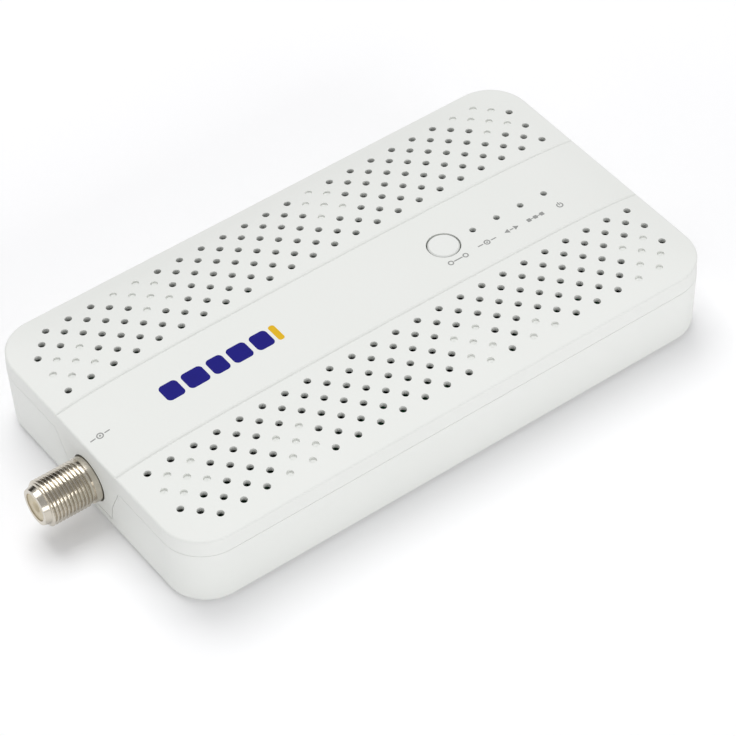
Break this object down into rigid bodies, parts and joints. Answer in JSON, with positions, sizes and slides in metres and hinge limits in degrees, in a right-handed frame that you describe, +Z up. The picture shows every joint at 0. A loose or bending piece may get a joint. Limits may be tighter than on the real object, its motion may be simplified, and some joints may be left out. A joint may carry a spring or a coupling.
{
  "type": "coax network adapter",
  "caption": "Flat rounded desktop case with a perforated crowned top that bridges a threaded coax socket to a network socket, with a push button and power inlet.",
  "frame": {"origin": "on the table plane, under the middle of the whole length with the coax socket included", "axes": "+X from the coax end to the network end, +Z up"},
  "size_m": [0.1368, 0.0696, 0.0198],
  "materials": {
    "case_white": "fine moulded texture",
    "button_white": "satin moulded",
    "foot_rubber": "matt",
    "screw_steel": "zinc plated",
    "label_film": "satin polyester film",
    "switch_black": "moulded",
    "plunger_black": "moulded",
    "pipe_clear": "clear moulded resin",
    "lamp_resin": "milky resin",
    "board_green": "solder mask",
    "socket_nickel": "bright nickel plate",
    "insulator_ivory": "moulded",
    "contact_gold": "gold plated",
    "shield_tin": "tin plated",
    "jack_black": "moulded",
    "chip_black": "moulded epoxy",
    "pad_grey": "soft silicone",
    "sink_black": "black anodised",
    "can_silver": "drawn can",
    "ferrite_grey": "sintered ferrite",
    "ceramic_tan": "fired ceramic"
  },
  "bodies": {
    "case": {"top_cover": "case_white", "bottom_tray": "case_white", "rubber_feet": "foot_rubber", "case_screws": "screw_steel", "rating_label": "label_film", "pairing_switch": "switch_black", "light_pipe": "pipe_clear", "status_lamps": "lamp_resin", "circuit_board": "board_green", "board_screws": "screw_steel", "coax_socket": "socket_nickel", "coax_insulator": "insulator_ivory", "coax_contact": "contact_gold", "jack_shield": "shield_tin", "jack_housing": "jack_black", "jack_contacts": "contact_gold", "power_jack": "jack_black", "power_pin": "socket_nickel", "power_spring": "shield_tin", "reset_switch": "switch_black", "shield_frame": "shield_tin", "shield_lid": "shield_tin", "network_chip": "chip_black", "thermal_pad": "pad_grey", "heat_sink": "sink_black", "ethernet_chip": "chip_black", "memory_chip": "chip_black", "regulator_chip": "chip_black", "line_transformer": "chip_black", "crystal": "can_silver", "power_inductor": "ferrite_grey", "bulk_capacitors": "can_silver", "ceramic_capacitors": "ceramic_tan", "chip_resistors": "chip_black"},
    "button": {"push_button": "button_white"},
    "pairing_plunger": {"pairing_plunger": "plunger_black"},
    "reset_plunger": {"reset_plunger": "plunger_black"}
  },
  "joints": [
    {"name": "button_press", "type": "slide", "parent": "case", "child": "button", "axis": [0, 0, -1], "range_m": [0, 0.0004], "stiffness_N_per_m": 600, "springref_m": -0.0006},
    {"name": "pairing_plunger_press", "type": "slide", "parent": "case", "child": "pairing_plunger", "axis": [0, 0, -1], "range_m": [0, 0.0004]},
    {"name": "reset_press", "type": "slide", "parent": "case", "child": "reset_plunger", "axis": [-1, 0, 0], "range_m": [0, 0.0004], "stiffness_N_per_m": 600, "springref_m": -0.0006}
  ],
  "couplings": [
    {"joint": "pairing_plunger_press", "follows": "button_press", "ratio": 1}
  ]
}
